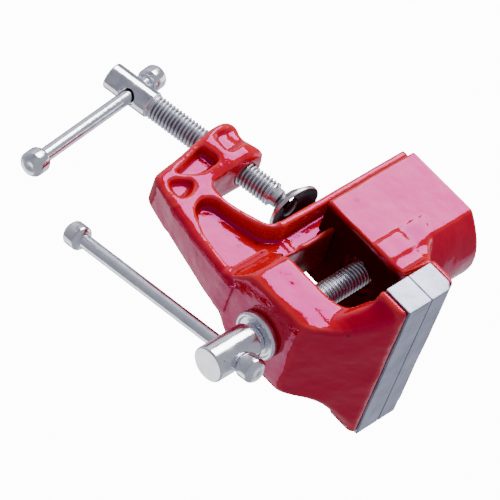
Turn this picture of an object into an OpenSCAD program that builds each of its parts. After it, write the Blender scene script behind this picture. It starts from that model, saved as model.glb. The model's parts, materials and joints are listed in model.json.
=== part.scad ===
// Small clamp-on bench vise.
// Frame: +Z up, +X from the main handle towards the back of the vise, +Y to its left.
// Origin: where the clamp screw's axis meets the flat face that rests on the bench top.

/* [Jaws] */
// Width of both jaws along Y
jaw_width = 60; // [54:1:66]
// Thickness of each ground steel jaw plate along X
plate_thick = 9; // [8:0.5:10]
// Height of each jaw plate
plate_height = 10.2; // [9:0.2:11]
// Height of the jaws' top edge above the bench
jaw_top = 55; // [53:0.5:57]
// X of the clamping plane when the jaws are closed
jaw_plane = -11; // [-12:0.5:-10]
// How far the sliding jaw opens
jaw_opening = 22; // [18:1:24]

/* [Main screw] */
// Major diameter of the main and clamp threads
thread_dia = 8; // [7:0.5:8]
// Height of the main screw's axis above the bench
main_height = 24; // [23:0.5:25]
// Diameter of the main screw's head
main_head_dia = 11; // [10:0.5:12]
// Diameter of the washer under the head
washer_dia = 15.6; // [14:0.2:18]

/* [Handles] */
// Diameter of both handle bars
bar_dia = 4.5; // [4:0.1:4.6]
// Diameter of the caps on the ends of the bars
knob_dia = 8; // [7:0.5:9]
// Length of the caps
knob_len = 6; // [5:0.5:6]
// Distance between the middles of the two caps of the main bar
main_bar_span = 74; // [70:1:76]
// Distance between the middles of the two caps of the clamp bar
clamp_bar_span = 61; // [56:1:66]

/* [Clamp] */
// Lean of the clamp screw away from upright
clamp_lean = 11; // [8:1:12]
// Diameter of the clamp screw's head
clamp_head_dia = 8.8; // [8.6:0.2:9.4]
// Diameter of the swivel pad
pad_dia = 17.8; // [16:0.2:19]
// Depth of the bench throat, from the face on the bench top to the arm below it
throat = 22.7; // [22:0.1:24]

/* [Casting] */
// Width of the sliding jaw's body and of the front wall
body_width = 33; // [32:0.5:34]
// Width of the rail and of the face on the bench top
rail_width = 16; // [15:0.5:17]
// Height of the rail
rail_height = 11.6; // [11:0.1:12]
// X of the rear end of the rail
rail_end = 39; // [37:0.5:40]
// Thickness of the web between the flanges
web_thick = 4; // [3:0.5:5]

/* [Hidden] */
$fn = 64;

enamel = [0.62, 0.05, 0.09];
ground_steel = [0.78, 0.79, 0.82];
bright_steel = [0.80, 0.81, 0.84];
black_steel = [0.12, 0.10, 0.12];

run = 0.06;             // radial clearance of a shaft that turns or slides in its hole
slide_gap = 0.3;        // clearance between the sliding jaw and the rail
joint_gap = 0.15;       // gap left between the two closed jaw plates
big = 200;              // longer than the vise, for cutting profiles

half_jaw = jaw_width / 2;
half_body = body_width / 2;
half_rail = rail_width / 2;
plate_bottom = jaw_top - plate_height;
seat_front = jaw_plane - plate_thick;               // face that the fixed plate sits on
slide_plate_front = jaw_plane + joint_gap;
seat_back = slide_plate_front + plate_thick;        // face that the sliding plate sits on

// Main screw, from the head backwards
wall_front = -41;
wall_back = -25.8;
washer_thick = 2.4;
head_back = wall_front - washer_thick - 2;
head_len = 16.4;
head_front = head_back - head_len;
main_bar_x = -53;
neck_dia = 9;
collar_len = 5;
collar_dia = 13;
thrust_thick = 1;
collar_recess = 8.2;              // depth of the counterbore in the wall that hides the collar
thrust_front = wall_back - collar_recess + 0.1;
collar_front = thrust_front + thrust_thick + 0.1;
pin_dia = 2;
thread_grip = 11.7;             // length of thread left in the sliding jaw when it is fully open
main_bar_lean = 13.8;           // lean of the main bar from upright
main_bar_upper = 8.6;           // screw axis to the middle of the upper cap

// Clamp screw, measured along its own axis from the origin
clamp_head_end = -75;
clamp_head_top = -58.6;
clamp_bar_at = -66;
clamp_bar_turn = 9.6;
clamp_bar_play = 0.9;           // how much wider than the bar its hole in the head is
clamp_bar_long = 51.3;          // clamp axis to the middle of the long cap
clamp_nose = -11.8;             // upper end of the clamp screw's thread
nose_dia = 6;
nose_end = -9.8;
rivet_dia = 3;
rivet_head_dia = 7;
rivet_ball = -6.9;              // centre about which the pad tilts
rivet_foot = -17;               // lower end of the rivet's shank inside the screw
pad_lean = -3.5;                // lean of the pad's face from level
pad_shift = 1.0;                // play of the loose pad to the back of its rivet
pad_face = 2.4;                 // height of the pad's rim above the centre it tilts about
pad_wall = 1.1;

// Fixed casting
arm_inner = -throat;
arm_half = 8.3;                 // half width of the arm's rounded end
arm_round_x = -5.3;             // X about which the arm's end is rounded
boss_dia = 13;
spine_foot = -33;               // X of the outer corner between spine and arm
arm_outer = -38.4;              // Z of the arm's outer face below the clamp screw
flange = 2.4;                   // thickness of the flange that rests on the bench
guide_thick = 1.9;              // thickness of the guide flange on top of the rail
guide_bottom = rail_height - guide_thick;

// Sliding casting
block_front = -1.7;
block_back = 34.2;
block_bottom = 6;
block_edge = 32;                // Z where the side faces meet the arched top
block_crown = 39.6;             // top of the arch
slot_gap = 0.25;
core_dia = 13;
core_depth = 6;
main_screw_end = block_front + core_depth + jaw_opening + thread_grip;

// Plate screws
screw_y = 18;
screw_z = jaw_top - 6.4;
screw_dia = 4;
screw_head_dia = 8;
screw_grip = 4;                 // depth of thread in the casting

// Points of a circular arc in the plane, from angle a0 to a1
function arc(cx, cy, r, a0, a1, n = 8) =
    [for (i = [0 : n]) let (a = a0 + (a1 - a0) * i / n) [cx + r * cos(a), cy + r * sin(a)]];

// An outline of [x, z] points made solid from y0 to y1
module side_solid(points, y0, y1) {
    translate([0, y1, 0]) rotate([90, 0, 0]) linear_extrude(y1 - y0) polygon(points);
}

// An outline of [y, z] points made solid from x0 to x1
module front_solid(points, x0, x1) {
    translate([x0, 0, 0]) rotate([90, 0, 90]) linear_extrude(x1 - x0) polygon(points);
}

// An outline of [x, y] points made solid from z0 to z1
module plan_solid(points, z0, z1) {
    translate([0, 0, z0]) linear_extrude(z1 - z0) polygon(points);
}

// Mirrored copy of half an outline: points are listed up the +first side
function both_sides(half) = concat(half, [for (i = [len(half) - 1 : -1 : 0]) [-half[i][0], half[i][1]]]);

// Cylinder along X
module rod_x(x0, x1, dia) {
    translate([x0, 0, main_height]) rotate([0, 90, 0]) cylinder(h = x1 - x0, d = dia);
}

// Cylinder along the clamp axis, between two distances from the origin
module rod_clamp(s0, s1, dia) {
    rotate([0, clamp_lean, 0]) translate([0, 0, s0]) cylinder(h = s1 - s0, d = dia);
}

// Places children on the main bar's axis, with Z running up the bar
module on_main_bar() {
    translate([main_bar_x, 0, main_height]) rotate([-main_bar_lean, 0, 0]) children();
}

// Places children on the clamp bar's axis, with Z running towards its long end
module on_clamp_bar() {
    rotate([0, clamp_lean, 0]) translate([0, 0, clamp_bar_at])
        rotate([0, 0, 180 - clamp_bar_turn]) rotate([0, 90, 0]) children();
}

// Round cap with bevelled rims, centred on the bar's end
module cap() {
    bevel = 1;
    rotate_extrude() polygon([
        [0, -knob_len / 2], [knob_dia / 2 - bevel, -knob_len / 2], [knob_dia / 2, -knob_len / 2 + bevel],
        [knob_dia / 2, knob_len / 2 - bevel], [knob_dia / 2 - bevel, knob_len / 2], [0, knob_len / 2]]);
}

// Cap with the blind hole that the bar is pressed into; the hole opens downwards
module bored_cap() {
    difference() {
        cap();
        translate([0, 0, -knob_len]) cylinder(h = knob_len + 1, d = bar_dia);
    }
}

// Front wall with the fixed jaw above it
module fixed_head() {
    slope_foot = 35.5;
    wing_root = seat_front - 2.3;
    intersection() {
        side_solid([
            [wall_front, 4], [wall_front, slope_foot], [seat_front - 1, jaw_top], [seat_front, jaw_top],
            [seat_front, plate_bottom - 2.5], [wall_back + 1.8, 37.6],
            [wall_back + 0.4, 34.5], [wall_back, 31], [wall_back, 13],
            [wall_back + 2.5, rail_height], [wall_back + 2.5, 4]], -half_jaw, half_jaw);
        front_solid(both_sides([
            [half_rail, 4], [half_rail, 7], [half_body, 14.5], [half_body, 38.5], [24, plate_bottom - 1],
            [half_jaw, plate_bottom - 0.6], [half_jaw, jaw_top]]), -big, big);
        plan_solid([
            [wall_front, -half_body + 6], [wall_front + 1.7, -half_body + 1.7], [wall_front + 6, -half_body],
            [-31, -half_body], [wing_root, -26], [wing_root, -half_jaw], [big, -half_jaw],
            [big, half_jaw], [wing_root, half_jaw], [wing_root, 26], [-31, half_body],
            [wall_front + 6, half_body], [wall_front + 1.7, half_body - 1.7], [wall_front, half_body - 6]],
            -big, big);
    }
}

// Spine and clamp arm: one side outline, narrower towards the foot
module frame() {
    intersection() {
        side_solid(concat(
            [[wall_front, 10], [wall_front, 4], [-38.7, -10], [-36.3, -22], [spine_foot - 1, -32]],
            [[spine_foot + 0.5, -34.3], [-6.5, arm_outer + 0.3], [1.6, arm_outer]],
            [[2.8, -37.4], [2.8, -36], [0.6, -31.6], [0.6, -30], [2, -27.4], [2.8, -25.4], [2.2, arm_inner]],
            arc(-18.4, arm_inner + 1.8, 1.8, 270, 180, 4),
            [[-19.9, -15.4], [-18.4, -9.5]],
            arc(-12.6, -5.2, 5.2, 160, 90, 5),
            [[-12.6, rail_height], [-24, 10.5]]),
            -half_body, half_body);
        union() {
            front_solid(both_sides([
                [5.4, -36], [6.2, arm_inner], [6.8, -10], [half_rail, 0], [half_rail, 12]]), -big, big);
            plan_solid(concat([[-22, 6.2], [-22, -6.2], [-10, -arm_half]],
                arc(arm_round_x, 0, arm_half, -90, 90, 12), [[-10, arm_half]]), -45, arm_inner + 1);
        }
    }
}

// Rail with the bench face underneath and the guide flange on top
module rail() {
    front_solid(both_sides([
        [half_rail, 0], [half_rail, flange], [web_thick / 2, flange],
        [web_thick / 2, guide_bottom], [half_rail, guide_bottom], [half_rail, rail_height]]),
        -14, rail_end);
}

// Recesses that leave the web, cut from one side of the frame
module side_recesses() {
    deep = half_body;
    side_solid([
        [-26.5, -20], [-31, -18], [-35.2, -9], [-37.4, 2], [-37.2, 7.4], [-35.8, 9], [-24, 9.4],
        [-12, guide_bottom], [-12, flange], [-16.5, 1.2], [-19.4, -2], [-21.5, -9], [-23, -17.5]],
        web_thick / 2, deep);
    side_solid([[-31, -30], [-27.4, -29.2], [-24.8, -27], [-25, -25], [-28.6, -22.8], [-31.8, -23.2],
        [-32.6, -26.4]], 4, deep);
    side_solid([[-25.8, -32], [-13.8, -34.6], [-12.6, -30], [-13.2, -27.2], [-20, -27], [-25.8, -30.4]],
        3.6, deep);
    side_solid([[-8.6, -35], [6, -35.4], [6, -29.4], [-8.8, -28]], 5.8, deep);
}

module fixed_body() {
    color(enamel) difference() {
        union() {
            fixed_head();
            difference() {
                frame();
                side_recesses();
                mirror([0, 1, 0]) side_recesses();
            }
            rail();
            intersection() {
                rod_clamp(-40, arm_inner, boss_dia);
                side_solid([[-30, arm_outer + 1], [4, arm_outer + 1], [4, arm_inner], [-30, arm_inner]],
                    -half_body, half_body);
            }
        }
        rod_x(wall_front - 5, wall_back + 5, thread_dia + 2 * run);
        rod_x(wall_back - collar_recess, wall_back + 5, collar_dia + 0.8);
        rod_clamp(-60, -15, thread_dia + 2 * run);
        plate_screw_holes(seat_front, -1);
    }
}

// Tapped holes for two plate screws; dir is the way they go into the casting
module plate_screw_holes(face, dir) {
    for (side = [-1, 1]) translate([face, side * screw_y, screw_z])
        rotate([0, 90 * dir, 0]) translate([0, 0, -1]) cylinder(h = screw_grip + 1, d = screw_dia);
}

module sliding_jaw() {
    arch_radius = (pow(half_body, 2) + pow(block_crown - block_edge, 2)) / (2 * (block_crown - block_edge));
    arch_half = asin(half_body / arch_radius);
    lip_half = web_thick / 2 + slot_gap + 0.4;
    channel_half = half_rail + slide_gap;
    color(enamel) difference() {
        union() {
            // Body with its arched top
            front_solid(concat(
                [[half_body, block_bottom]],
                arc(0, block_crown - arch_radius, arch_radius, 90 - arch_half, 90 + arch_half, 16),
                [[-half_body, block_bottom]]), block_front, block_back);
            // Neck and wings behind the plate
            intersection() {
                side_solid([
                    [block_front, 25], [block_front, jaw_top - 0.8], [seat_back + 0.3, jaw_top - 0.8],
                    [seat_back + 1.3, jaw_top - 3], [8.2, 39], [15.3, 32.5], [20, 25]],
                    -half_jaw, half_jaw);
                front_solid(both_sides([
                    [half_body, 25], [half_body, 37.5], [half_jaw - 0.5, plate_bottom - 0.3],
                    [half_jaw - 0.5, jaw_top]]), -big, big);
                plan_solid([
                    [block_front, -half_jaw], [seat_back + 1.2, -half_jaw + 0.5], [8.2, -half_body],
                    [big, -half_body], [big, half_body], [8.2, half_body],
                    [seat_back + 1.2, half_jaw - 0.5], [block_front, half_jaw]], -big, big);
            }
        }
        // Seat of the jaw plate
        translate([-big, -big, plate_bottom]) cube([big + seat_back, 2 * big, big]);
        // Cored hollow ahead of the tapped hole
        rod_x(block_front - 5, block_front + core_depth, core_dia);
        // Channel round the guide flange, and the slot for the web below it
        front_solid(both_sides([
            [channel_half, guide_bottom - slot_gap], [channel_half, rail_height + slot_gap]]), -big, big);
        front_solid(both_sides([[lip_half, 0], [lip_half, rail_height]]), -big, big);
        rod_x(block_front - 5, block_back + 5, thread_dia + 2 * run);
        plate_screw_holes(seat_back, 1);
    }
}

// Jaw plate from x0 to x1; face_dir is the side that carries the screw heads
module jaw_plate(x0, face_dir) {
    bevel = 2.2;
    face = face_dir > 0 ? x0 + plate_thick : x0;
    back_dir = -face_dir;
    color(ground_steel) difference() {
        translate([x0, -half_jaw, plate_bottom]) cube([plate_thick, jaw_width, plate_height]);
        if (face_dir < 0) for (side = [-1, 1])
            translate([x0 + plate_thick, side * half_jaw, jaw_top]) rotate([0, 45, 0])
                cube([bevel * 1.2, 3 * bevel, bevel * 1.2], center = true);
        for (side = [-1, 1]) translate([face, side * screw_y, screw_z]) rotate([0, 90 * back_dir, 0]) {
            translate([0, 0, -1]) cylinder(h = plate_thick + 2, d = screw_dia + 0.3);
            translate([0, 0, -0.01]) cylinder(h = 2.3, d1 = screw_head_dia + 0.1, d2 = screw_dia);
        }
    }
}

module fixed_jaw_plate() {
    jaw_plate(seat_front, 1);
}

module sliding_jaw_plate() {
    jaw_plate(slide_plate_front, -1);
}

// Two countersunk screws that enter at x = face and point along dir
module plate_screws(face, dir) {
    color(bright_steel) for (side = [-1, 1])
        translate([face, side * screw_y, screw_z]) rotate([0, 90 * dir, 0]) difference() {
            union() {
                translate([0, 0, 0.3]) cylinder(h = 2, d1 = screw_head_dia - 0.6, d2 = screw_dia);
                translate([0, 0, 0.3]) cylinder(h = plate_thick + screw_grip - 0.5, d = screw_dia);
            }
            translate([-0.5, -screw_head_dia, 0]) cube([1, 2 * screw_head_dia, 1.2]);
        }
}

module fixed_plate_screws() {
    plate_screws(jaw_plane, -1);
}

module sliding_plate_screws() {
    plate_screws(slide_plate_front, 1);
}

module main_screw() {
    bevel = 0.8;
    color(bright_steel) difference() {
        union() {
            translate([head_front, 0, main_height]) rotate([0, 90, 0]) rotate_extrude() polygon([
                [0, 0], [main_head_dia / 2 - bevel, 0], [main_head_dia / 2, bevel],
                [main_head_dia / 2, head_len - bevel / 2], [main_head_dia / 2 - bevel / 2, head_len],
                [0, head_len]]);
            rod_x(head_back - 0.1, wall_front - washer_thick, neck_dia);
            rod_x(wall_front - washer_thick - 0.1, main_screw_end, thread_dia);
        }
        on_main_bar() translate([0, 0, -15]) cylinder(h = 30, d = bar_dia + 2 * run);
        translate([collar_front + collar_len / 2, 0, main_height - 15]) cylinder(h = 30, d = pin_dia);
    }
}

module main_washer() {
    color(bright_steel) difference() {
        rod_x(wall_front - washer_thick, wall_front, washer_dia);
        rod_x(wall_front - 5, wall_front + 5, thread_dia + 2 * run);
    }
}

module thrust_washer() {
    color(bright_steel) difference() {
        rod_x(thrust_front, thrust_front + thrust_thick, collar_dia);
        rod_x(thrust_front - 5, thrust_front + 5, thread_dia + 2 * run);
    }
}

module retaining_collar() {
    color(bright_steel) difference() {
        rod_x(collar_front, collar_front + collar_len, collar_dia);
        rod_x(collar_front - 5, collar_front + 2 * collar_len, thread_dia);
        translate([collar_front + collar_len / 2, 0, main_height - 15]) cylinder(h = 30, d = pin_dia);
    }
}

module collar_pin() {
    color(bright_steel) translate([collar_front + collar_len / 2, 0, main_height - collar_dia / 2 + 0.2])
        cylinder(h = collar_dia - 0.4, d = pin_dia);
}

module main_bar() {
    color(bright_steel) on_main_bar()
        translate([0, 0, main_bar_upper - main_bar_span - 1]) cylinder(h = main_bar_span + 2, d = bar_dia);
}

module main_bar_upper_knob() {
    color(bright_steel) on_main_bar() translate([0, 0, main_bar_upper]) bored_cap();
}

module main_bar_lower_knob() {
    color(bright_steel) on_main_bar() translate([0, 0, main_bar_upper - main_bar_span])
        rotate([180, 0, 0]) bored_cap();
}

module clamp_screw() {
    bevel = 0.8;
    color(bright_steel) difference() {
        union() {
            rotate([0, clamp_lean, 0]) translate([0, 0, clamp_head_end]) rotate_extrude() polygon([
                [0, 0], [clamp_head_dia / 2 - bevel, 0], [clamp_head_dia / 2, bevel],
                [clamp_head_dia / 2, clamp_head_top - clamp_head_end - bevel / 2],
                [clamp_head_dia / 2 - bevel / 2, clamp_head_top - clamp_head_end],
                [0, clamp_head_top - clamp_head_end]]);
            rod_clamp(clamp_head_top - 0.1, clamp_nose, thread_dia);
            rod_clamp(clamp_nose - 0.1, nose_end, nose_dia);
        }
        on_clamp_bar() translate([0, 0, -15]) cylinder(h = 30, d = bar_dia + clamp_bar_play);
        rod_clamp(rivet_foot - 0.3, nose_end + 1, rivet_dia + 2 * run);
    }
}

module clamp_bar() {
    color(bright_steel) on_clamp_bar()
        translate([0, 0, clamp_bar_long - clamp_bar_span - 1]) cylinder(h = clamp_bar_span + 2, d = bar_dia);
}

module clamp_bar_long_knob() {
    color(bright_steel) on_clamp_bar() translate([0, 0, clamp_bar_long]) bored_cap();
}

module clamp_bar_short_knob() {
    color(bright_steel) on_clamp_bar() translate([0, 0, clamp_bar_long - clamp_bar_span])
        rotate([180, 0, 0]) bored_cap();
}

// Rivet that holds the pad on the screw's nose: shank, and a domed head inside the pad's dish
module pad_rivet() {
    color(bright_steel) {
        rod_clamp(rivet_foot, rivet_ball + 1, rivet_dia);
        rotate([0, clamp_lean, 0]) translate([0, 0, rivet_ball]) intersection() {
            sphere(d = rivet_head_dia);
            translate([0, 0, 0.8]) cylinder(h = 1.4, d = rivet_head_dia);
        }
    }
}

// Dished pad: its underside is a cone, and its hollow faces up
module clamp_pad() {
    rim = pad_dia / 2;
    floor_z = -1.5;
    hole = rivet_dia / 2 + 1.6;
    color(black_steel)
        rotate([0, clamp_lean, 0]) translate([0, 0, rivet_ball]) rotate([0, pad_lean - clamp_lean, 0])
            translate([pad_shift, 0, 0]) rotate_extrude() polygon([
                [hole, floor_z], [hole + 2.2, floor_z], [rim, pad_face - pad_wall], [rim, pad_face],
                [rim - 1, pad_face], [hole + 2.4, floor_z + pad_wall + 0.2],
                [hole, floor_z + pad_wall - 0.3]]);
}

fixed_body();
sliding_jaw();
fixed_jaw_plate();
sliding_jaw_plate();
fixed_plate_screws();
sliding_plate_screws();
main_screw();
main_washer();
thrust_washer();
retaining_collar();
collar_pin();
main_bar();
main_bar_upper_knob();
main_bar_lower_knob();
clamp_screw();
clamp_bar();
clamp_bar_long_knob();
clamp_bar_short_knob();
pad_rivet();
clamp_pad();
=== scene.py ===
import json
import math

import bpy
import numpy as np
from mathutils import Matrix, Vector


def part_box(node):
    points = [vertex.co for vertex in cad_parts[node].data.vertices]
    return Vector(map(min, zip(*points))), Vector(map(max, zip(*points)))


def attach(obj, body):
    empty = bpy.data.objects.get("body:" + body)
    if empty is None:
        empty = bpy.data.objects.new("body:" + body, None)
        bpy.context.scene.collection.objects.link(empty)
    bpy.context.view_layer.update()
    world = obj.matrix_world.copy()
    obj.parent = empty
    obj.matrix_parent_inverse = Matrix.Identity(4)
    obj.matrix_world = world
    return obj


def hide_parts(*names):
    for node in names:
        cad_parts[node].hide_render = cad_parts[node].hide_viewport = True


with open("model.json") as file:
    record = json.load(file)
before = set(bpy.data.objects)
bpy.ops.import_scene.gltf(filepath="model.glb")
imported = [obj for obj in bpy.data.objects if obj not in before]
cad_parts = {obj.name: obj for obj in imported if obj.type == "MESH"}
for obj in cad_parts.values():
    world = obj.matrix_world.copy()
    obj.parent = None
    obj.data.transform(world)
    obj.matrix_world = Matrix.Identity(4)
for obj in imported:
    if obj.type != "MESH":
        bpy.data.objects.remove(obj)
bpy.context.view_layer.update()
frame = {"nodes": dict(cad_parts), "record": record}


# ---------------------------------------------------------------- measures, in millimetres

MM = 0.001


def box_mm(node):
    """Lowest and highest corner of a CAD node in millimetres."""
    low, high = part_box(node)
    return np.array(low) / MM, np.array(high) / MM


def middle_mm(node):
    """Middle of a CAD node's box in millimetres."""
    low, high = box_mm(node)
    return (low + high) / 2


joints = {j["name"]: j for j in frame["record"]["behaviour"]["joints"]}
clamp_axis = np.array(joints["clamp_feed"]["axis"])
clamp_bar_axis = np.array(joints["clamp_bar_slide"]["axis"])
main_axis = np.array(joints["main_screw_spin"]["axis"])
main_bar_axis = np.array(joints["main_bar_slide"]["axis"])
main_height = joints["main_screw_spin"]["pos_m"][2] / MM

body_low, body_high = box_mm("fixed_body")
slider_low, slider_high = box_mm("sliding_jaw")
fixed_plate = box_mm("fixed_jaw_plate")
sliding_plate = box_mm("sliding_jaw_plate")
washer_low, washer_high = box_mm("main_washer")

wall_front = body_low[0]
rail_end = body_high[0]
jaw_top = body_high[2]
half_jaw = body_high[1]
seat_front = fixed_plate[0][0]
seat_back = sliding_plate[1][0]
plate_bottom = fixed_plate[0][2]
wall_back = -25.8
collar_floor = box_mm("thrust_washer")[0][0] - 0.1
block_front, block_back = slider_low[0], slider_high[0]
half_body = 16.5
half_rail = 8.0
web_half = 2.0
rail_height = 11.6
guide_bottom = 9.7
bench_flange = 2.4
throat = 22.7
bore_radius = 4.1

BOSS_RADIUS = 6.5
COLLAR_ROOM_RADIUS = 6.9
CORE_RADIUS = 6.5
CORE_DEPTH = 6
PLATE_SCREW_Y = 18
PLATE_SCREW_BELOW_TOP = 6.4

PAD_PIVOT = -6.9
PAD_LEAN = -3.5
PAD_SHIFT = 1.0

THREAD_RADIUS = 4.0
THREAD_PITCH = 1.25
THREAD_DEPTH = 0.72
BAR_RADIUS = 2.25


# ---------------------------------------------------------------- solids as distance fields

class Grid:
    """A block of evenly spaced points on which solids are described by their signed distance."""

    def __init__(self, low, high, step):
        self.low = np.array(low, float)
        self.step = step
        counts = np.ceil((np.array(high, float) - self.low) / step).astype(int) + 1
        x, y, z = (self.low[k] + step * np.arange(counts[k]) for k in range(3))
        self.x = x[:, None, None]
        self.y = y[None, :, None]
        self.z = z[None, None, :]
        self.shape = tuple(counts)

    def side(self, outline):
        """An outline of (x, z) points that runs on for ever along y."""
        x, z = self.x[:, 0, :], self.z[0]
        return outline_distance(outline, x + 0 * z, z + 0 * x)[:, None, :]

    def front(self, outline):
        """An outline of (y, z) points that runs on for ever along x."""
        y, z = self.y[0], self.z[0]
        return outline_distance(outline, y + 0 * z, z + 0 * y)[None, :, :]

    def plan(self, outline):
        """An outline of (x, y) points that runs on for ever along z."""
        x, y = self.x[:, :, 0], self.y[:, :, 0]
        return outline_distance(outline, x + 0 * y, y + 0 * x)[:, :, None]

    def rod(self, point, axis, radius):
        """An endless round rod: distance from its axis, less the radius."""
        rx, ry, rz = self.x - point[0], self.y - point[1], self.z - point[2]
        along = rx * axis[0] + ry * axis[1] + rz * axis[2]
        square = rx * rx + ry * ry + rz * rz - along * along
        return np.sqrt(np.maximum(square, 0)) - radius

    def slab(self, axis, low, high):
        """Everything between two values of x, y or z."""
        value = (self.x, self.y, self.z)[axis]
        return np.maximum(low - value, value - high)

    def sample(self, field, points):
        """Values of a field at loose points, by linear blending of the eight grid points around each."""
        where = (points - self.low) / self.step
        cell = np.clip(np.floor(where).astype(int), 0, np.array(self.shape) - 2)
        part = where - cell
        total = np.zeros(len(points))
        for corner in np.ndindex(2, 2, 2):
            weight = np.prod(np.where(corner, part, 1 - part), axis=1)
            at = cell + corner
            total += weight * field[at[:, 0], at[:, 1], at[:, 2]]
        return total


def outline_distance(points, u, v):
    """Signed distance to a closed outline: the nearest distance to any of its sides, negative inside."""
    points = np.asarray(points, float)
    square = np.full(u.shape, np.inf)
    inside = np.zeros(u.shape, bool)
    for a, b in zip(points, np.roll(points, -1, axis=0)):
        edge = b - a
        part = np.clip(((u - a[0]) * edge[0] + (v - a[1]) * edge[1]) / edge.dot(edge), 0, 1)
        square = np.minimum(square, (u - a[0] - part * edge[0]) ** 2 + (v - a[1] - part * edge[1]) ** 2)
        if a[1] != b[1]:
            inside ^= ((a[1] > v) != (b[1] > v)) & (u < a[0] + (v - a[1]) * edge[0] / edge[1])
    return np.where(inside, -1, 1) * np.sqrt(square)


def soften(points, reach, steps=5):
    """An outline with every corner replaced by a curve that starts at most `reach` before it:
    the quadratic Bezier from there through the corner to the same distance after it."""
    points = np.asarray(points, float)
    curve = []
    for before, corner, after in zip(np.roll(points, 1, axis=0), points, np.roll(points, -1, axis=0)):
        start, end = before - corner, after - corner
        start = corner + start * min(0.45, reach / np.linalg.norm(start))
        end = corner + end * min(0.45, reach / np.linalg.norm(end))
        for t in np.linspace(0, 1, steps):
            curve.append((1 - t) ** 2 * start + 2 * t * (1 - t) * corner + t * t * end)
    return curve


def mirrored(half):
    """Closed outline from points listed up its positive side."""
    return list(half) + [(-a, b) for a, b in reversed(list(half))]


def meet(radius, *fields):
    """What the solids share. Edges between two surfaces are rounded to the radius."""
    result = fields[0]
    for field in fields[1:]:
        both = np.hypot(np.maximum(result + radius, 0), np.maximum(field + radius, 0))
        result = np.minimum(np.maximum(result, field), -radius) + both
    return result


def join(radius, *fields):
    """All the solids together, with a fillet of the radius in the corners between them."""
    return -meet(radius, *[-field for field in fields])


def cut(radius, solid, *tools):
    """A solid less some tools, its new edges rounded to the radius."""
    return meet(radius, solid, *[-tool for tool in tools])


def ripples(grid, size, height):
    """Slow unevenness of a casting: a sum of waves in slanting directions, at most `height` high."""
    directions = [(1.0, 0.4, 0.2), (-0.3, 1.0, 0.5), (0.2, -0.6, 1.0), (0.8, 0.7, -0.6), (-0.9, 0.3, 0.8)]
    total = 0
    for turn, (a, b, c) in enumerate(directions):
        wave = (a * grid.x + b * grid.y + c * grid.z) * 2 * math.pi / (size * (1 + 0.23 * turn))
        total = total + np.sin(wave + 1.7 * turn)
    return height * total / len(directions)


def net(grid, field):
    """The surface where a field is zero: one point in each grid cell that the surface crosses, at the mean of
    the crossings on the cell's edges, and one four-sided face round each crossed edge. The points are then
    moved onto the surface along the field's slope. Returns points and faces."""
    shape = np.array(field.shape)
    cells = shape - 1
    weights = np.array([cells[1] * cells[2], cells[2], 1])
    sums = np.zeros((int(np.prod(cells)), 3))
    counts = np.zeros(len(sums))
    rings = []
    for axis in range(3):
        low = [slice(None)] * 3
        high = [slice(None)] * 3
        low[axis], high[axis] = slice(None, -1), slice(1, None)
        a, b = field[tuple(low)], field[tuple(high)]
        at = np.argwhere((a < 0) != (b < 0))
        va, vb = a[tuple(at.T)], b[tuple(at.T)]
        crossing = at.astype(float)
        crossing[:, axis] += va / (va - vb)
        others = [k for k in range(3) if k != axis]
        ring = []
        for back in ((0, 0), (1, 0), (1, 1), (0, 1)):
            cell = at.copy()
            cell[:, others[0]] -= back[0]
            cell[:, others[1]] -= back[1]
            index = cell @ weights
            for k in range(3):
                sums[:, k] += np.bincount(index, crossing[:, k], len(sums))
            counts += np.bincount(index, minlength=len(sums))
            ring.append(index)
        ring = np.stack(ring, axis=1)
        outward = (va < 0) ^ (axis == 1)
        ring[~outward] = ring[~outward][:, ::-1]
        rings.append(ring)
    used = np.flatnonzero(counts)
    points = grid.low + grid.step * sums[used] / counts[used][:, None]
    number = np.full(len(sums), -1)
    number[used] = np.arange(len(used))
    faces = number[np.concatenate(rings)]
    slopes = np.gradient(field, grid.step)
    for _ in range(2):
        slope = np.stack([grid.sample(s, points) for s in slopes], axis=1)
        length = np.maximum((slope ** 2).sum(axis=1), 0.25)
        away = np.clip(grid.sample(field, points), -grid.step, grid.step)
        points -= slope * (away / length)[:, None]
    return points, faces[:, ::-1]


def bend_of(grid, field, points, spread=2):
    """How sharply the surface bends at each point, per millimetre: the field's Laplacian over `spread` grid
    steps. Edges are positive and inside corners negative."""
    padded = np.pad(field, spread, mode="edge")
    total = -6 * field
    for axis in range(3):
        for way in (0, 2 * spread):
            pick = [slice(spread, -spread)] * 3
            pick[axis] = slice(way, way + field.shape[axis])
            total = total + padded[tuple(pick)]
    return grid.sample(total / (spread * grid.step) ** 2, points)


def within_box(points, low, high, reach):
    """Mark for points in a box: 1 from `reach` inside its faces inwards, 0 outside them."""
    depth = np.minimum(np.array(points) - low, np.array(high) - points).min(axis=1)
    return np.clip(depth / reach, 0, 1)


# ---------------------------------------------------------------- pieces

def place(axis, across, origin):
    """Matrix that takes local z to `axis` and local x to `across`, from an origin in millimetres."""
    z = np.array(axis) / np.linalg.norm(axis)
    x = np.array(across) - z * z.dot(across)
    x /= np.linalg.norm(x)
    rows = np.column_stack([x, np.cross(z, x), z])
    return rows, np.array(origin, float)


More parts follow.
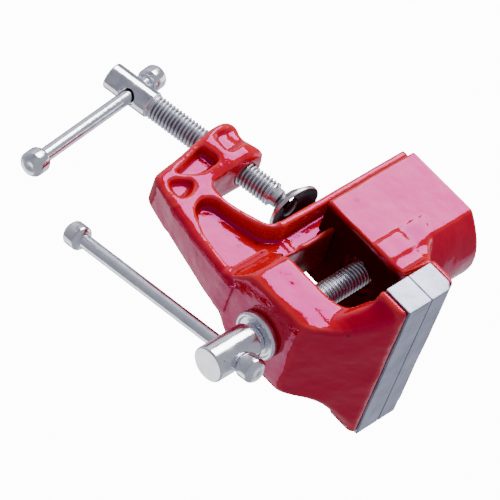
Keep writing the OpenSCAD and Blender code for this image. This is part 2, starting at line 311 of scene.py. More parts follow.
def piece(name, points, faces, finish, body, nodes=(), where=None, marks=None, sharp=None):
    """A mesh object from points in millimetres. `where` moves it from its own frame, `marks` are values
    stored on its points, and edges bent more than `sharp` degrees are kept crisp."""
    if where is not None:
        points = points @ where[0].T + where[1]
    mesh = bpy.data.meshes.new(name)
    mesh.from_pydata((points * MM).tolist(), [], faces)
    for mark, values in (marks or {}).items():
        layer = mesh.attributes.new(mark, "FLOAT", "POINT")
        layer.data.foreach_set("value", np.asarray(values, np.float32))
    mesh.polygons.foreach_set("use_smooth", np.ones(len(mesh.polygons), bool))
    mesh.materials.append(finish)
    mesh.validate()
    if sharp is not None:
        mesh.set_sharp_from_angle(angle=math.radians(sharp))
    obj = bpy.data.objects.new(name, mesh)
    bpy.context.collection.objects.link(obj)
    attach(obj, body)
    for replaced in nodes:
        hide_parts(replaced)
    return obj


def thread_drop(s, angle, start, end):
    """Depth of a right-hand thread at distance s and angle: flat crests, sloping flanks and rounded roots,
    one turn per pitch, running out over a turn at each end."""
    phase = (s / THREAD_PITCH - angle / (2 * math.pi)) % 1.0
    flank = np.clip(1.35 * (1 - np.abs(2 * phase - 1)) - 0.12, 0, 1)
    groove = flank * flank * (3 - 2 * flank)
    fade = np.clip((s - start) / THREAD_PITCH, 0, 1) * np.clip((end - s) / THREAD_PITCH, 0, 1)
    return groove * fade


def turned(profile, threads=(), around=56):
    """A piece turned about z: rings through a profile of (distance, radius) points, closed at both ends by a
    point on the axis. Between the two ends of each thread the radius drops in a helical groove.
    Returns points, faces and the groove's depth from 0 to 1 at each point."""
    stations = []
    for (s0, r0), (s1, r1) in zip(profile[:-1], profile[1:]):
        threaded = any(s0 >= start - 0.01 and s1 <= end + 0.01 for start, end in threads)
        rows = max(1, int(abs(s1 - s0) / THREAD_PITCH * 13)) if threaded else 1
        for t in np.arange(rows) / rows:
            stations.append((s0 + (s1 - s0) * t, r0 + (r1 - r0) * t))
    stations.append(profile[-1])
    stations = np.array(stations)
    angle = 2 * math.pi * np.arange(around) / around
    s = stations[:, 0][:, None] + 0 * angle
    groove = np.zeros(s.shape)
    for start, end in threads:
        inside = (s >= start) & (s <= end)
        groove = np.where(inside, thread_drop(s, angle[None, :], start, end), groove)
    radius = stations[:, 1][:, None] - THREAD_DEPTH * groove
    rings = np.stack([radius * np.cos(angle), radius * np.sin(angle), s], axis=2).reshape(-1, 3)
    points = np.vstack([rings, [[0, 0, stations[0, 0]], [0, 0, stations[-1, 0]]]])
    rows = len(stations)
    i, j = np.meshgrid(np.arange(rows - 1), np.arange(around), indexing="ij")
    k = (j + 1) % around
    quads = np.stack([i * around + j, i * around + k, (i + 1) * around + k, (i + 1) * around + j], axis=2)
    faces = quads.reshape(-1, 4).tolist()
    bottom, top = rows * around, rows * around + 1
    ring = np.arange(around)
    last = (rows - 1) * around
    faces += [[int((a + 1) % around), int(a), bottom] for a in ring]
    faces += [[int(last + a), int(last + (a + 1) % around), top] for a in ring]
    return points, faces, np.append(groove.reshape(-1), [0, 0])


def ring_of(profile, around=72):
    """A ring turned about z from a closed outline of (distance, radius) points, anticlockwise."""
    profile = np.array(profile)
    angle = 2 * math.pi * np.arange(around) / around
    s = profile[:, 0][:, None] + 0 * angle
    radius = profile[:, 1][:, None]
    points = np.stack([radius * np.cos(angle), radius * np.sin(angle), s], axis=2).reshape(-1, 3)
    i, j = np.meshgrid(np.arange(len(profile)), np.arange(around), indexing="ij")
    n, k = (i + 1) % len(profile), (j + 1) % around
    quads = np.stack([i * around + j, i * around + k, n * around + k, n * around + j], axis=2)
    return points, quads.reshape(-1, 4).tolist()


# ---------------------------------------------------------------- shader effects and materials

def group(name, inputs, outputs):
    """An empty shader node group with float or vector inputs (name: default) and named outputs."""
    tree = bpy.data.node_groups.new(name, "ShaderNodeTree")
    kinds = {"float": "NodeSocketFloat", "vector": "NodeSocketVector", "color": "NodeSocketColor"}
    for label, (kind, default) in inputs.items():
        socket = tree.interface.new_socket(label, in_out="INPUT", socket_type=kinds[kind])
        if default is not None:
            socket.default_value = default
    for label, kind in outputs.items():
        tree.interface.new_socket(label, in_out="OUTPUT", socket_type=kinds[kind])
    return tree, tree.nodes.new("NodeGroupInput"), tree.nodes.new("NodeGroupOutput")


def node(tree, kind, values=None, **settings):
    """A shader node with its settings and the values or links of its inputs, by name or number."""
    made = tree.nodes.new("ShaderNode" + kind)
    for setting, value in settings.items():
        setattr(made, setting, value)
    for label, value in (values or {}).items():
        if isinstance(value, bpy.types.NodeSocket):
            tree.links.new(value, made.inputs[label])
        else:
            made.inputs[label].default_value = value
    return made


def maths(tree, operation, *values, clamp=False):
    """Output of a Math node."""
    return node(tree, "Math", dict(enumerate(values)), operation=operation, use_clamp=clamp).outputs[0]


def ramp(tree, value, low, high, out_low=0.0, out_high=1.0):
    """A value carried smoothly from one range to another."""
    made = node(tree, "MapRange", {"Value": value, "From Min": low, "From Max": high, "To Min": out_low,
                                   "To Max": out_high}, interpolation_type="SMOOTHSTEP")
    return made.outputs["Result"]


def mix(tree, amount, a, b):
    """Colour between a and b."""
    made = tree.nodes.new("ShaderNodeMix")
    made.data_type = "RGBA"
    for index, value in ((0, amount), (6, a), (7, b)):
        if isinstance(value, bpy.types.NodeSocket):
            tree.links.new(value, made.inputs[index])
        else:
            made.inputs[index].default_value = value
    return made.outputs[2]


def noise(tree, vector, scale, detail=3.0, rough=0.55):
    """Noise value over a vector, in features per metre."""
    made = node(tree, "TexNoise", {"Vector": vector, "Scale": scale, "Detail": detail, "Roughness": rough})
    return made.outputs["Fac"]


def make_specks():
    """Scattered small marks: the middles of random cells, kept where a second noise is high."""
    tree, inward, outward = group(
        "specks", {"Vector": ("vector", None), "Scale": ("float", 300.0), "Size": ("float", 0.2),
                   "Share": ("float", 0.3)}, {"Mask": "float"})
    cells = node(tree, "TexVoronoi", {"Vector": inward.outputs["Vector"], "Scale": inward.outputs["Scale"]})
    near = maths(tree, "LESS_THAN", cells.outputs["Distance"], inward.outputs["Size"])
    parts = node(tree, "SeparateColor", {"Color": cells.outputs["Color"]})
    chosen = maths(tree, "LESS_THAN", parts.outputs[0], inward.outputs["Share"])
    tree.links.new(maths(tree, "MULTIPLY", near, chosen), outward.inputs["Mask"])
    return tree


def make_brushing():
    """Fine lines along one direction: noise over coordinates squeezed by Stretch, at two scales."""
    tree, inward, outward = group(
        "brushing",
        {"Vector": ("vector", None), "Stretch": ("vector", (1, 1, 1)), "Scale": ("float", 3000.0)},
        {"Lines": "float"})
    squeezed = node(tree, "VectorMath", {0: inward.outputs["Vector"], 1: inward.outputs["Stretch"]},
                    operation="MULTIPLY").outputs[0]
    fine = noise(tree, squeezed, inward.outputs["Scale"], 4.0, 0.7)
    broad = noise(tree, squeezed, maths(tree, "MULTIPLY", inward.outputs["Scale"], 0.3), 2.0, 0.5)
    lines = maths(tree, "ADD", maths(tree, "MULTIPLY", fine, 0.6), maths(tree, "MULTIPLY", broad, 0.4))
    tree.links.new(lines, outward.inputs["Lines"])
    return tree


specks = make_specks()
brushing = make_brushing()


def use(tree, effect, values):
    """A shared effect placed in a material with its own values."""
    made = tree.nodes.new("ShaderNodeGroup")
    made.node_tree = effect
    for label, value in values.items():
        if isinstance(value, bpy.types.NodeSocket):
            tree.links.new(value, made.inputs[label])
        else:
            made.inputs[label].default_value = value
    return made.outputs[0]


def material(name):
    """A new node material: its tree, its Principled shader and object coordinates."""
    made = bpy.data.materials.new(name)
    made.use_nodes = True
    tree = made.node_tree
    coordinates = tree.nodes.new("ShaderNodeTexCoord").outputs["Object"]
    return made, tree, tree.nodes["Principled BSDF"], coordinates


def bump(tree, height, distance, strength=1.0, base=None):
    """Normal from a height, `distance` metres high at 1."""
    values = {"Height": height, "Distance": distance, "Strength": strength}
    if base is not None:
        values["Normal"] = base
    return node(tree, "Bump", values).outputs["Normal"]


def make_enamel():
    """Thick glossy red enamel: thin and orange over edges, painted shade in inside corners, orange peel,
    a slow sag in the surface, a few pits, and painted shade in the hollows: near black, without reflection."""
    made, tree, shader, place_in = material("enamel")
    bend = node(tree, "Attribute", attribute_name="bend").outputs["Fac"]
    patches = noise(tree, place_in, 260.0, 3.0)
    uneven = maths(tree, "MULTIPLY", maths(tree, "SUBTRACT", patches, 0.5), 0.25)
    edge = ramp(tree, maths(tree, "ADD", bend, uneven), 0.22, 0.85)
    # Painted shade: inside corners, where the bend is strongly negative, get a darker red below.
    corner = ramp(tree, bend, -0.10, -0.55)
    pits = use(tree, specks, {"Vector": place_in, "Scale": 190.0, "Size": 0.16, "Share": 0.10})
    red = mix(tree, patches, (0.52, 0.0004, 0.004, 1), (0.60, 0.0006, 0.007, 1))
    red = mix(tree, maths(tree, "MULTIPLY", edge, 0.5), red, (0.80, 0.055, 0.030, 1))
    # Painted shade in the inside corners.
    red = mix(tree, maths(tree, "MULTIPLY", corner, 0.8), red, (0.36, 0.0001, 0.004, 1))
    red = mix(tree, maths(tree, "MULTIPLY", pits, 0.7), red, (0.14, 0.0005, 0.004, 1))
    # Painted shade: the hollow mark turns the enamel near black in the hollows, and further down takes its
    # reflection away.
    hollow = node(tree, "Attribute", attribute_name="hollow").outputs["Fac"]
    red = mix(tree, maths(tree, "MULTIPLY", hollow, 0.93), red, (0.02, 0.0001, 0.0002, 1))
    peel = noise(tree, place_in, 620.0, 2.0, 0.5)
    sag = noise(tree, place_in, 95.0, 2.0, 0.4)
    height = maths(tree, "ADD", maths(tree, "MULTIPLY", peel, 0.06), sag)
    height = maths(tree, "SUBTRACT", height, maths(tree, "MULTIPLY", pits, 0.15))
    normal = bump(tree, height, 0.0011)
    tree.links.new(red, shader.inputs["Base Color"])
    tree.links.new(normal, shader.inputs["Normal"])
    roughness = maths(tree, "ADD", ramp(tree, patches, 0.3, 0.8, 0.05, 0.11),
                      maths(tree, "MULTIPLY", hollow, 0.4))
    tree.links.new(roughness, shader.inputs["Roughness"])
    # Painted shade: no reflection where the hollow mark is high.
    tree.links.new(ramp(tree, hollow, 0.0, 0.9, 0.5, 0.0), shader.inputs["Specular IOR Level"])
    shader.inputs["IOR"].default_value = 1.7
    shader.inputs["Specular Tint"].default_value = (1.0, 0.10, 0.72, 1.0)
    return made


def make_ground_steel():
    """Bare steel off a surface grinder: long lines along y on the faces, slanting lines on the ends, a
    cloudy tone and a few dark pits."""
    made, tree, shader, place_in = material("ground_steel")
    facing = node(tree, "SeparateXYZ", {0: tree.nodes.new("ShaderNodeNewGeometry").outputs["Normal"]})
    end = ramp(tree, maths(tree, "ABSOLUTE", facing.outputs[1]), 0.6, 0.9)
    along = use(tree, brushing, {"Vector": place_in, "Stretch": (1.0, 0.03, 1.0), "Scale": 1400.0})
    turned_round = node(tree, "VectorRotate", {"Vector": place_in, "Angle": math.radians(40)},
                        rotation_type="Y_AXIS").outputs[0]
    across = use(tree, brushing, {"Vector": turned_round, "Stretch": (0.08, 1.0, 1.0), "Scale": 1100.0})
    lines = mix(tree, end, along, across)
    lines = node(tree, "SeparateColor", {"Color": lines}).outputs[0]
    clouds = noise(tree, place_in, 140.0, 3.0)
    pits = use(tree, specks, {"Vector": place_in, "Scale": 420.0, "Size": 0.2, "Share": 0.06})
    tone = maths(tree, "ADD", maths(tree, "MULTIPLY", lines, 0.7), maths(tree, "MULTIPLY", clouds, 0.3))
    tint = mix(tree, ramp(tree, tone, 0.3, 0.7), (0.13, 0.14, 0.20, 1), (0.44, 0.45, 0.56, 1))
    tint = mix(tree, maths(tree, "MULTIPLY", pits, 0.7), tint, (0.16, 0.16, 0.2, 1))
    tree.links.new(tint, shader.inputs["Base Color"])
    tree.links.new(ramp(tree, lines, 0.3, 0.7, 0.30, 0.46), shader.inputs["Roughness"])
    tree.links.new(bump(tree, maths(tree, "SUBTRACT", lines, pits), 0.00012), shader.inputs["Normal"])
    shader.inputs["Metallic"].default_value = 1.0
    return made


def make_bright_steel(name, stretch, tone=(0.90, 0.91, 0.96), rough=0.13):
    """Bright plated steel with faint polishing lines along `stretch`, cloudy plating and painted shade in
    the thread roots, near black where the groove mark is high."""
    made, tree, shader, place_in = material(name)
    groove = node(tree, "Attribute", attribute_name="groove").outputs["Fac"]
    lines = use(tree, brushing, {"Vector": place_in, "Stretch": stretch, "Scale": 1600.0})
    clouds = noise(tree, place_in, 210.0, 3.0)
    spots = use(tree, specks, {"Vector": place_in, "Scale": 520.0, "Size": 0.17, "Share": 0.07})
    light = (*tone, 1)
    dim = (tone[0] * 0.78, tone[1] * 0.78, tone[2] * 0.82, 1)
    tint = mix(tree, ramp(tree, maths(tree, "ADD", maths(tree, "MULTIPLY", lines, 0.5),
                                      maths(tree, "MULTIPLY", clouds, 0.5)), 0.35, 0.65), dim, light)
    # Painted shade: the thread roots are mixed towards near black.
    tint = mix(tree, ramp(tree, groove, 0.35, 1.0, 0.0, 0.85), tint, (0.07, 0.07, 0.10, 1))
    tint = mix(tree, maths(tree, "MULTIPLY", spots, 0.5), tint, (0.3, 0.27, 0.25, 1))
    tree.links.new(tint, shader.inputs["Base Color"])
    roughness = maths(tree, "ADD", ramp(tree, clouds, 0.3, 0.7, rough * 0.7, rough * 1.5),
                      maths(tree, "MULTIPLY", groove, 0.25))
    tree.links.new(roughness, shader.inputs["Roughness"])
    tree.links.new(bump(tree, maths(tree, "ADD", lines, maths(tree, "MULTIPLY", clouds, 2.0)), 0.00003),
                   shader.inputs["Normal"])
    shader.inputs["Metallic"].default_value = 1.0
    return made


def make_black_steel():
    """Blackened pressed steel: blue-black with cloudy patches, and bare metal where the worn mark is high."""
    made, tree, shader, place_in = material("black_steel")
    rubbed = node(tree, "Attribute", attribute_name="worn").outputs["Fac"]
    patches = noise(tree, place_in, 420.0, 4.0)
    worn = ramp(tree, maths(tree, "ADD", rubbed, maths(tree, "MULTIPLY", patches, 0.5)), 0.45, 0.95)
    tint = mix(tree, patches, (0.02, 0.016, 0.022, 1), (0.06, 0.05, 0.065, 1))
    tint = mix(tree, worn, tint, (0.62, 0.61, 0.63, 1))
    tree.links.new(tint, shader.inputs["Base Color"])
    tree.links.new(ramp(tree, patches, 0.3, 0.7, 0.25, 0.42), shader.inputs["Roughness"])
    tree.links.new(bump(tree, patches, 0.00008), shader.inputs["Normal"])
    shader.inputs["Metallic"].default_value = 0.9
    return made


enamel = make_enamel()
ground_steel = make_ground_steel()
screw_steel = make_bright_steel("screw_steel", (0.3, 1.0, 1.0), rough=0.22)
bar_steel = make_bright_steel("bar_steel", (1.0, 1.0, 0.06), rough=0.10)
cap_steel = make_bright_steel("cap_steel", (1.0, 0.5, 1.0), tone=(0.90, 0.90, 0.95), rough=0.14)
black_steel = make_black_steel()

# ---------------------------------------------------------------- the two castings


def fixed_casting():
    """The fixed casting: a front wall with the fixed jaw, the spine and clamp arm with their recesses, and
    the rail, each the shared part of outlines seen from the side, the front and above."""
    grid = Grid(body_low - 1.6, body_high + 1.6, 0.62)
    wing = seat_front - 2.3
    head = meet(
        1.5,
        grid.side(soften([
            (wall_front, 4), (wall_front, 35.5), (seat_front - 1, jaw_top), (seat_front + 3, jaw_top),
            (seat_front + 3, plate_bottom - 2.5), (wall_back + 1.8, 37.6), (wall_back + 0.4, 34.5),
            (wall_back, 31), (wall_back, 13), (wall_back + 2.5, rail_height), (wall_back + 2.5, 4)], 1.6)),
        grid.front(soften(mirrored([
            (half_rail, 4), (half_rail, 7), (half_body, 14.5), (half_body, 38.5), (24, plate_bottom - 1),
            (half_jaw, plate_bottom - 0.6), (half_jaw, jaw_top)]), 2.0)),
        grid.plan(soften([
            (wall_front, -half_body), (-31, -half_body), (wing, -26), (wing, -half_jaw), (0, -half_jaw),
            (0, half_jaw), (wing, half_jaw), (wing, 26), (-31, half_body), (wall_front, half_body)], 4.5)))
    # Spine and arm
    arm_outline = [
        (wall_front, 10), (wall_front, 4), (-38.7, -10), (-36.3, -22), (-34, -32), (-32.5, -34.3),
        (-6.5, -38.1), (2.0, -38.4), (2.8, -36), (0.6, -31.6), (0.8, -29.6), (2.6, -25.4), (2.2, -throat),
        (-19.4, -throat), (-19.9, -15.4), (-18.4, -9.5), (-16.2, -2.2), (-12.6, 0), (-12.6, rail_height),
        (-24, 10.5)]
    tip = [(-10 + 4.7 + 8.3 * math.cos(a), 8.3 * math.sin(a)) for a in np.linspace(-1.45, 1.45, 12)]
    arm_plan = [(-45, -6.2), (-22, -6.2), (-10, -8.3)] + tip + [(-10, 8.3), (-22, 6.2), (-45, 6.2)]
    spine = join(
        0.8,
        grid.front(mirrored([(5.4, -36), (6.2, -throat), (6.8, -10), (half_rail, 0), (half_rail, 12)])),
        np.maximum(grid.plan(arm_plan), grid.slab(2, -45, -throat + 1)))
    frame_solid = meet(2.6, grid.side(soften(arm_outline, 1.6)), spine)
    recesses = [
        (web_half, [(-26.5, -20), (-31, -18), (-35.2, -9), (-37.4, 2), (-37.2, 7.4), (-35.8, 9), (-24, 9.4),
                    (-11, guide_bottom), (-11, bench_flange), (-16.5, 1.2), (-19.4, -2), (-21.5, -9),
                    (-23, -17.5)]),
        (4.0, [(-31, -30), (-27.4, -29.2), (-24.8, -27), (-25, -25), (-28.6, -22.8), (-31.8, -23.2),
               (-32.6, -26.4)]),
        (3.6, [(-25.8, -32), (-13.8, -34.6), (-12.6, -30), (-13.2, -27.2), (-20, -27), (-25.8, -30.4)]),
        (5.8, [(-8.6, -35), (8, -35.6), (8, -29.2), (-8.8, -28)])]
    for depth, outline in recesses:
        pocket = meet(1.8, grid.side(soften(outline, 2.2)), depth - np.abs(grid.y) + 0 * grid.x)
        frame_solid = cut(1.4, frame_solid, pocket)
    rail = meet(
        0.7,
        grid.front(soften(mirrored([
            (half_rail, 0), (half_rail, bench_flange), (web_half, bench_flange), (web_half, guide_bottom),
            (half_rail, guide_bottom), (half_rail, rail_height)]), 0.7)),
        grid.slab(0, -14, rail_end - 0.15))
    boss = meet(1.0, grid.rod((0, 0, 0), clamp_axis, BOSS_RADIUS), grid.slab(2, -37.4, -throat))
    solid = join(0.9, join(1.6, join(1.2, head, frame_solid), rail), boss)
    solid = solid + ripples(grid, 17.0, 0.10)
    bore = meet(0.1, grid.rod((0, 0, main_height), main_axis, bore_radius), grid.slab(0, wall_front - 5, 0))
    clamp_bore = np.maximum(grid.rod((0, 0, 0), clamp_axis, bore_radius), grid.slab(2, -60, -15))
    collar_room = np.maximum(
        grid.rod((0, 0, main_height), main_axis, COLLAR_ROOM_RADIUS), grid.slab(0, collar_floor, 0))
    solid = cut(0.5, solid, bore, clamp_bore, collar_room)
    seat = np.maximum(grid.slab(0, seat_front, 60), grid.slab(2, 36, 90))
    solid = cut(0.25, solid, seat)
    points, faces = net(grid, solid)
    # Mark for painted shade: points behind the front wall, above the rail and between the sides, which the
    # enamel paints near black.
    hollow = within_box(
        points, (wall_back - 1.5, -half_body + 1, rail_height - 1.2), (60, half_body - 1, 37), 1.6)
    piece("fixed_casting", points, faces, enamel, "frame", ["fixed_body"],
          marks={"bend": bend_of(grid, solid, points), "hollow": hollow})


def sliding_casting():
    """The sliding casting: an arched block with a neck that spreads into the jaw, a channel round the rail
    and a cored hollow where the screw enters."""
    grid = Grid(slider_low - 1.4, slider_high + 1.4, 0.52)
    crown, edge = 39.6, 32.0
    arch = [(y, edge + (crown - edge) * (1 - (y / half_body) ** 2)) for y in np.linspace(half_body, 0, 12)]
    block = meet(
        0.5,
        grid.front(soften(mirrored([(half_body, slider_low[2])] + arch[:-1]), 0.9)),
        grid.slab(0, block_front, block_back))
    neck = meet(
        1.2,
        grid.side(soften([
            (block_front, 25), (block_front, jaw_top - 0.8), (seat_back + 0.3, jaw_top - 0.8),
            (seat_back + 2.6, jaw_top - 2.4), (8.6, 40), (15.3, 32.5), (20, 25)], 1.2)),
        grid.front(soften(mirrored([
            (half_body, 25), (half_body, 37.5), (half_jaw - 0.5, plate_bottom - 0.3),
            (half_jaw - 0.5, jaw_top)]), 1.5)),
        grid.plan(soften([
            (block_front, -half_jaw), (seat_back + 2, -half_jaw + 0.5), (8.8, -half_body),
            (40, -half_body), (40, half_body), (8.8, half_body), (seat_back + 2, half_jaw - 0.5),
            (block_front, half_jaw)], 2.0)))
    solid = join(1.8, block, neck) + ripples(grid, 15.0, 0.09)
    seat = np.maximum(grid.slab(2, plate_bottom, 90), grid.slab(0, -90, seat_back))
    channel = grid.front(soften(mirrored([
        (2.65, -5), (2.65, guide_bottom - 0.25), (half_rail + 0.3, guide_bottom - 0.25),
        (half_rail + 0.3, rail_height + 0.25)]), 0.4))
    hollow = meet(
        1.5,
        grid.rod((0, 0, main_height), main_axis, CORE_RADIUS),
        grid.slab(0, -20, block_front + CORE_DEPTH))
    bore = grid.rod((0, 0, main_height), main_axis, bore_radius) + 0 * grid.x
    solid = cut(0.25, solid, seat)
    solid = cut(0.6, solid, channel, hollow)
    solid = cut(0.4, solid, bore)
    points, faces = net(grid, solid)
    # Marks for painted shade: the block's front face and the channel round the rail, which the enamel paints
    # near black.
    front = within_box(points, (-60, -60, 0), (block_front + 2.6, half_body - 0.5, 39.2), 2.0)
    channel_room = within_box(points, (block_front, -half_rail - 1, 0), (60, half_rail + 1, 13), 1.0)
    piece("sliding_casting", points, faces, enamel, "slider", ["sliding_jaw"],
          marks={"bend": bend_of(grid, solid, points), "hollow": np.maximum(front, channel_room)})


fixed_casting()
sliding_casting()

# ---------------------------------------------------------------- jaw plates


def jaw_plate(name, node_name, body, clipped, face_dir):
    """A ground plate: a block with faintly broken edges, with the top corners of one clipped, and two
    countersunk holes."""
    low, high = box_mm(node_name)
    grid = Grid(low - 0.6, high + 0.6, 0.27)
    block = meet(0.18, grid.slab(0, low[0], high[0]), grid.slab(1, low[1], high[1]),
                 grid.slab(2, low[2], high[2]))
    face = high[0] if face_dir > 0 else low[0]
    for side in (-1, 1):
        if clipped:
            clip = (grid.x - high[0] + grid.z - high[2] + 1.9) / math.sqrt(2)
            block = meet(0.2, block, clip + 0 * grid.y)
        hole = grid.rod((0, side * PLATE_SCREW_Y, jaw_top - PLATE_SCREW_BELOW_TOP), (1, 0, 0), 2.15)
        inward = face_dir * (face - grid.x)
        radial = hole + 2.15
        sink = np.maximum((radial - 4.05 + 0.9 * inward) / 1.35, -1 - inward)
        block = cut(0.12, block, np.minimum(hole, sink) + 0 * grid.x)
    points, faces = net(grid, block)
    piece(name, points, faces, ground_steel, body, [node_name], sharp=40)


jaw_plate("fixed_plate", "fixed_jaw_plate", "frame", False, 1)
jaw_plate("sliding_plate", "sliding_jaw_plate", "slider", True, -1)

# ---------------------------------------------------------------- screws


def screw_head(name, radius, length, hole_at, hole_radius, body, nodes, where):
    """Round screw head: a bar with rounded ends, crossed by the handle's hole along its own x."""
    grid = Grid((-radius - 0.6, -radius - 0.6, -0.6), (radius + 0.6, radius + 0.6, length + 0.6), 0.17)
    solid = meet(0.55, grid.rod((0, 0, 0), (0, 0, 1), radius), grid.slab(2, 0, length))
    hole = grid.rod((0, 0, hole_at), (1, 0, 0), hole_radius) + 0 * grid.x
    solid = cut(0.35, solid, hole)
    points, faces = net(grid, solid)
    piece(name, points, faces, cap_steel, body, nodes, where)


screw_low, screw_high = box_mm("main_screw")
main_bar_middle = middle_mm("main_bar")
main_head_length = 16.4
main_head_radius = 5.65
main_from_head = place(main_axis, main_bar_axis, (screw_low[0], 0, main_height))
screw_head("main_screw_head", main_head_radius, main_head_length, main_bar_middle[0] - screw_low[0],
           BAR_RADIUS + 0.15, "main_spindle", ["main_screw"], main_from_head)
shank_start = screw_low[0] + main_head_length - 0.3
shank = place(main_axis, main_bar_axis, (0, 0, main_height))
main_profile = [
    (shank_start, 4.5), (washer_low[0] - 0.2, 4.5), (washer_low[0], THREAD_RADIUS),
    (screw_high[0] - 0.9, THREAD_RADIUS), (screw_high[0], THREAD_RADIUS - 0.8)]
points, faces, groove = turned(main_profile, [(washer_low[0], screw_high[0] - 0.9)])
piece("main_screw_shank", points, faces, screw_steel, "main_spindle", (), shank, {"groove": groove}, sharp=60)

clamp_head_end, clamp_head_top = -74.9, -58.6
clamp_bar_at = float(middle_mm("clamp_bar") @ clamp_axis)
clamp_from_head = place(clamp_axis, clamp_bar_axis, clamp_axis * clamp_head_end)
screw_head("clamp_screw_head", 4.4, clamp_head_top - clamp_head_end, clamp_bar_at - clamp_head_end,
           BAR_RADIUS + 0.45, "clamp_spindle", ["clamp_screw"], clamp_from_head)
clamp_frame = place(clamp_axis, clamp_bar_axis, (0, 0, 0))
clamp_profile = [
    (clamp_head_top - 0.3, THREAD_RADIUS), (-12.4, THREAD_RADIUS), (-11.8, 3.0), (-10.1, 3.0), (-9.8, 2.7)]
points, faces, groove = turned(clamp_profile, [(clamp_head_top - 0.3, -12.4)])
piece("clamp_screw_shank", points, faces, screw_steel, "clamp_spindle", (), clamp_frame, {"groove": groove},
      sharp=60)

# ---------------------------------------------------------------- bars and caps


def bar(name, node_name, body, axis):
    """A round bar: its length from the CAD box along its axis, with softened ends."""
    low, high = box_mm(node_name)
    lead = int(np.argmax(np.abs(axis)))
    across = 2 * BAR_RADIUS * math.sqrt(1 - axis[lead] ** 2)
    half = (high[lead] - low[lead] - across) / abs(axis[lead]) / 2
    stations = np.linspace(-half + 0.3, half - 0.3, 40)
    profile = [(-half, BAR_RADIUS - 0.3)]
    profile += [(s, BAR_RADIUS - 0.012 * (1 + math.sin(1.3 * s))) for s in stations]
    profile += [(half, BAR_RADIUS - 0.3)]
    points, faces, _ = turned(profile)
    side = (1, 0, 0) if abs(axis[0]) < 0.5 else (0, 1, 0)
    where = place(axis, side, middle_mm(node_name))
    piece(name, points, faces, bar_steel, body, [node_name], where, sharp=50)


def cap(name, node_name, body, axis, outward):
    """A cap pressed on the end of a bar: a short round with rolled edges, a shallow dimple in its outer
    face and a fine step where it meets the bar."""
    radius, half = 4.0, 3.0
    profile = [
        (-half, 2.3), (-half, 2.9), (-half + 0.12, 3.15), (-half + 0.75, 3.75), (-half + 1.15, radius - 0.04),
        (-half + 1.6, radius), (half - 1.6, radius), (half - 1.1, radius - 0.06), (half - 0.7, 3.72),
        (half - 0.1, 3.1), (half, 2.9), (half, 0.9), (half - 0.12, 0.5)]
    points, faces, _ = turned(profile)
    where = place(np.array(axis) * outward, (1, 0.2, 0.1), middle_mm(node_name))
    piece(name, points, faces, cap_steel, body, [node_name], where, sharp=38)


bar("main_bar_rod", "main_bar", "main_handle", main_bar_axis)
cap("main_bar_upper_cap", "main_bar_upper_knob", "main_handle", main_bar_axis, 1)
cap("main_bar_lower_cap", "main_bar_lower_knob", "main_handle", main_bar_axis, -1)
bar("clamp_bar_rod", "clamp_bar", "clamp_handle", clamp_bar_axis)
cap("clamp_bar_long_cap", "clamp_bar_long_knob", "clamp_handle", clamp_bar_axis, 1)
cap("clamp_bar_short_cap", "clamp_bar_short_knob", "clamp_handle", clamp_bar_axis, -1)

# ---------------------------------------------------------------- washers, collar, pin and pad


def front_washer():
    """The washer under the head: a flat ring with a rolled rim and a shallow groove round its face."""
    low, high = washer_low[0], washer_high[0]
    rim = (washer_high[1] - washer_low[1]) / 2
    profile = [
        (high, bore_radius), (high, rim - 0.4), (high - 0.4, rim), (low + 0.5, rim), (low + 0.15, rim - 0.2),
        (low, rim - 0.6), (low + 0.05, rim - 1.1), (low + 0.45, rim - 1.5), (low + 0.45, rim - 2.0),
        (low + 0.15, rim - 2.5), (low + 0.1, bore_radius + 0.2), (low + 0.3, bore_radius)]
    points, faces = ring_of(profile)
    piece("front_washer", points, faces, screw_steel, "frame", ["main_washer"], shank, sharp=45)


def plain_ring(name, node_name, body, inner):
    """A flat ring with broken edges, from its CAD box."""
    low, high = box_mm(node_name)
    rim = (high[1] - low[1]) / 2
    profile = [
        (high[0], inner), (high[0], rim - 0.25), (high[0] - 0.25, rim), (low[0] + 0.25, rim),
        (low[0], rim - 0.25), (low[0], inner)]
    points, faces = ring_of(profile)
    piece(name, points, faces, screw_steel, body, [node_name], shank, sharp=35)


def swivel_pad():
    """The dished pad: a pressed cone with a rolled rim, hollow side up, loose on its rivet."""
    tilt = math.radians(PAD_LEAN)
    pivot = clamp_axis * PAD_PIVOT
    up = np.array([math.sin(tilt), 0, math.cos(tilt)])
    along = np.array([math.cos(tilt), 0, -math.sin(tilt)])
    rim, face = 8.9, 2.4
    profile = [
        (-1.5, 2.6), (-0.7, 2.6), (-0.2, 5.5), (1.55, 8.15), (face - 0.1, 8.5), (face, 8.6),
        (face - 0.05, 8.8),
        (face - 0.3, rim), (face - 1.0, rim), (face - 1.25, 8.75), (-1.35, 5.1), (-1.5, 4.8)]
    points, faces = ring_of(profile)
    worn = np.repeat([0.0, 0.0, 0.0, 0.0, 0.1, 0.5, 0.8, 0.9, 0.6, 0.4, 0.35, 0.5], 72)
    where = place(up, along, pivot + PAD_SHIFT * along)
    piece("pad_dish", points, faces, black_steel, "swivel_pad", ["clamp_pad"], where, {"worn": worn},
          sharp=50)


def rivet():
    """The rivet that holds the pad: a shank with a domed, peened head."""
    dome = [(-6.1 + 1.35 * math.sin(a), 3.4 * math.cos(a)) for a in np.linspace(0.0, 1.45, 9)]
    profile = [(-17, 1.3), (-16.7, 1.5), (-6.4, 1.5), (-6.35, 3.2)] + dome
    points, faces, _ = turned(profile)
    piece("pad_rivet_turned", points, faces, black_steel, "pad_carrier", ["pad_rivet"], clamp_frame, sharp=45)


front_washer()
plain_ring("thrust_ring", "thrust_washer", "frame", bore_radius)
plain_ring("collar_ring", "retaining_collar", "main_spindle", THREAD_RADIUS)
swivel_pad()
rivet()
for name in ("fixed_plate_screws", "sliding_plate_screws", "collar_pin"):
    frame["nodes"][name].data.materials.clear()
    frame["nodes"][name].data.materials.append(cap_steel)

# ---------------------------------------------------------------- floor, light and camera


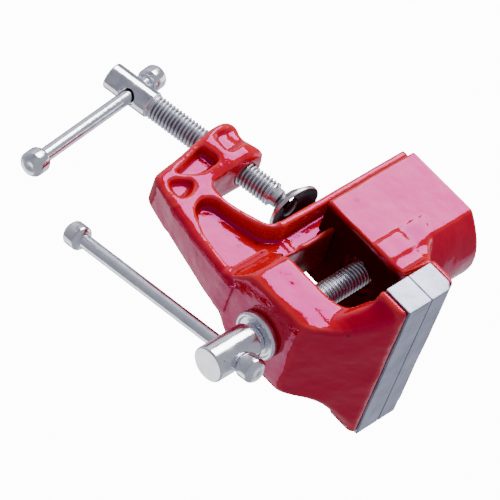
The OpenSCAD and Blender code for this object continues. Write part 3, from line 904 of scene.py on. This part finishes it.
def make_floor():
    """A wide pale sheet far below the object, with a faint grain. It glows for the camera alone, so it looks
    white without lighting the object."""
    made, tree, shader, place_in = material("floor_paper")
    grain = noise(tree, place_in, 60.0, 2.0)
    paper = mix(tree, grain, (0.62, 0.62, 0.66, 1), (0.66, 0.66, 0.70, 1))
    tree.links.new(paper, shader.inputs["Base Color"])
    tree.links.new(paper, shader.inputs["Emission Color"])
    seen = tree.nodes.new("ShaderNodeLightPath").outputs["Is Camera Ray"]
    tree.links.new(maths(tree, "MULTIPLY", seen, 20.0), shader.inputs["Emission Strength"])
    shader.inputs["Roughness"].default_value = 0.9
    size, level = 10.0, -0.6
    mesh = bpy.data.meshes.new("floor")
    corners = [(-size, -size, level), (size, -size, level), (size, size, level), (-size, size, level)]
    mesh.from_pydata(corners, [], [(0, 1, 2, 3)])
    mesh.materials.append(made)
    obj = bpy.data.objects.new("floor", mesh)
    bpy.context.collection.objects.link(obj)


def lamp(name, direction, distance, size, watts, color=(1, 1, 1)):
    """A square soft light on the side of the object that `direction` points to, facing it. The camera does
    not see the light itself."""
    light = bpy.data.lights.new(name, "AREA")
    light.size = size
    light.energy = watts
    light.color = color
    obj = bpy.data.objects.new(name, light)
    at = Vector(direction).normalized() * distance
    obj.matrix_world = Matrix.Translation(at) @ at.to_track_quat("Z", "Y").to_matrix().to_4x4()
    obj.visible_camera = False
    bpy.context.collection.objects.link(obj)


def make_world():
    """Pale even light from all round."""
    world = bpy.data.worlds.new("studio")
    world.use_nodes = True
    background = world.node_tree.nodes["Background"]
    background.inputs["Color"].default_value = (0.88, 0.90, 1.0, 1)
    background.inputs["Strength"].default_value = 0.5
    bpy.context.scene.world = world


def make_camera():
    """A long lens that looks down on the object's left front with the camera turned over on its side."""
    right = Vector((0.7188, 0.2324, 0.6552))
    up = Vector((0.4188, 0.6076, -0.6748))
    back = Vector((-0.5550, 0.7595, 0.3395))
    camera = bpy.data.cameras.new("camera")
    camera.lens = 248.4
    camera.sensor_width = 36.0
    obj = bpy.data.objects.new("camera", camera)
    turn = Matrix((right, up, back)).transposed().to_4x4()
    obj.matrix_world = Matrix.Translation((-0.58448, 0.76879, 0.34332)) @ turn
    bpy.context.collection.objects.link(obj)
    bpy.context.scene.camera = obj


make_floor()
make_world()
lamp("side_light", (0.555, 0.76, -0.28), 0.8, 0.5, 9.5)
lamp("back_light", (1.0, -0.1, 0.3), 1.0, 0.5, 1.5)
lamp("fill_light", (-0.555, -0.76, -0.34), 0.8, 0.55, 1.5)
lamp("far_light", (0.555, -0.76, 0.34), 0.9, 0.8, 1.2, (0.85, 0.88, 1.0))
make_camera()
